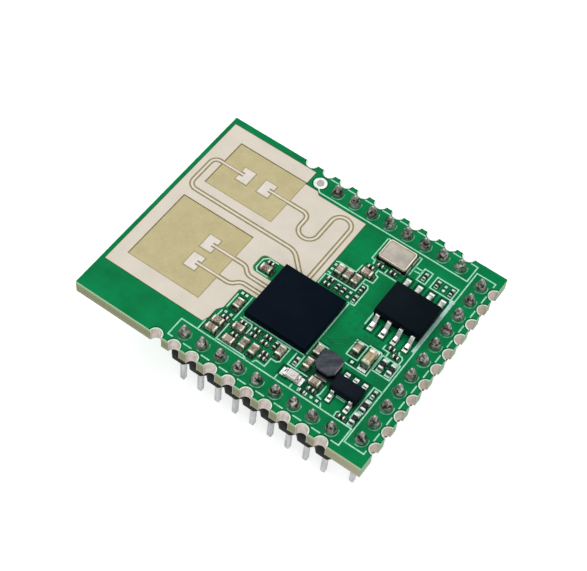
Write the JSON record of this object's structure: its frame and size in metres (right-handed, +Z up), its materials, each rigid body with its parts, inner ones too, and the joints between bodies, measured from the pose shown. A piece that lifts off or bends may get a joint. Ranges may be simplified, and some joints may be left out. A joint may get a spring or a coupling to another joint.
{
  "type": "millimeter-wave radar module",
  "caption": "Green circuit module with patch antennas in a bare copper area, a radar chip, small soldered parts, plated half holes and pin headers on three edges.",
  "frame": {"origin": "centre of the board's outline, on the plane that the tips of the header pins stand on", "axes": "+X along the board's long side, from the antenna edge to the edge with the longest header; +Y from the front pin row to the back pin row; +Z up, out of the face that carries the parts"},
  "size_m": [0.0316, 0.0248, 0.0093],
  "materials": {
    "board_laminate": "green solder mask, satin, with an olive cut edge",
    "edge_plating": "pale gold-flashed copper, satin",
    "header_plastic": "black moulded plastic",
    "pin_metal": "tinned, satin",
    "solder": "solder, uneven satin",
    "ground_copper": "pale bare finish on copper, matt",
    "patch_copper": "pale bare finish on copper, matt",
    "radar_plastic": "blue-black moulding compound, sawn edges",
    "memory_plastic": "black moulding compound",
    "regulator_plastic": "black moulding compound",
    "lead_metal": "tinned, bright satin",
    "ferrite": "ground ferrite, matt grey",
    "resin": "black resin",
    "crystal_ceramic": "black ceramic",
    "crystal_metal": "brushed pale metal lid",
    "lamp_plastic": "white moulded plastic",
    "lamp_lens": "milky resin",
    "capacitor_ceramic": "fired brown ceramic",
    "output_ceramic": "fired ochre ceramic",
    "resistor_film": "black glazed film",
    "terminal_metal": "tinned ends, satin",
    "tinned_pad": "tinned lands, satin"
  },
  "bodies": {
    "root": {"circuit_board": "board_laminate", "castellated_pads_front": "edge_plating", "castellated_pads_back": "edge_plating", "castellated_pads_right": "edge_plating", "header_body_front": "header_plastic", "header_body_back": "header_plastic", "header_body_right": "header_plastic", "header_pins_front": "pin_metal", "header_pins_back": "pin_metal", "header_pins_right": "pin_metal", "trimmed_header_pin": "pin_metal", "solder_joints_front": "solder", "solder_joints_back": "solder", "solder_joints_right": "solder", "flush_solder_joint": "solder", "antenna_ground_plane": "ground_copper", "transmit_antenna_outer": "patch_copper", "transmit_antenna_inner": "patch_copper", "receive_antenna_back": "patch_copper", "receive_antenna_front": "patch_copper", "radar_chip": "radar_plastic", "memory_body": "memory_plastic", "memory_leads": "lead_metal", "regulator_body": "regulator_plastic", "regulator_leads": "lead_metal", "power_inductor_core": "ferrite", "power_inductor_resin": "resin", "power_inductor_terminals": "lead_metal", "crystal_base": "crystal_ceramic", "crystal_lid": "crystal_metal", "crystal_terminals": "terminal_metal", "indicator_lamp_body": "lamp_plastic", "indicator_lamp_lens": "lamp_lens", "indicator_lamp_terminals": "terminal_metal", "output_capacitor_bodies": "output_ceramic", "output_capacitor_terminals": "terminal_metal", "capacitor_bodies": "capacitor_ceramic", "capacitor_terminals": "terminal_metal", "resistor_bodies": "resistor_film", "resistor_terminals": "terminal_metal", "small_capacitor_bodies": "capacitor_ceramic", "small_capacitor_terminals": "terminal_metal", "small_resistor_bodies": "resistor_film", "small_resistor_terminals": "terminal_metal", "bare_pads": "tinned_pad"}
  },
  "joints": []
}
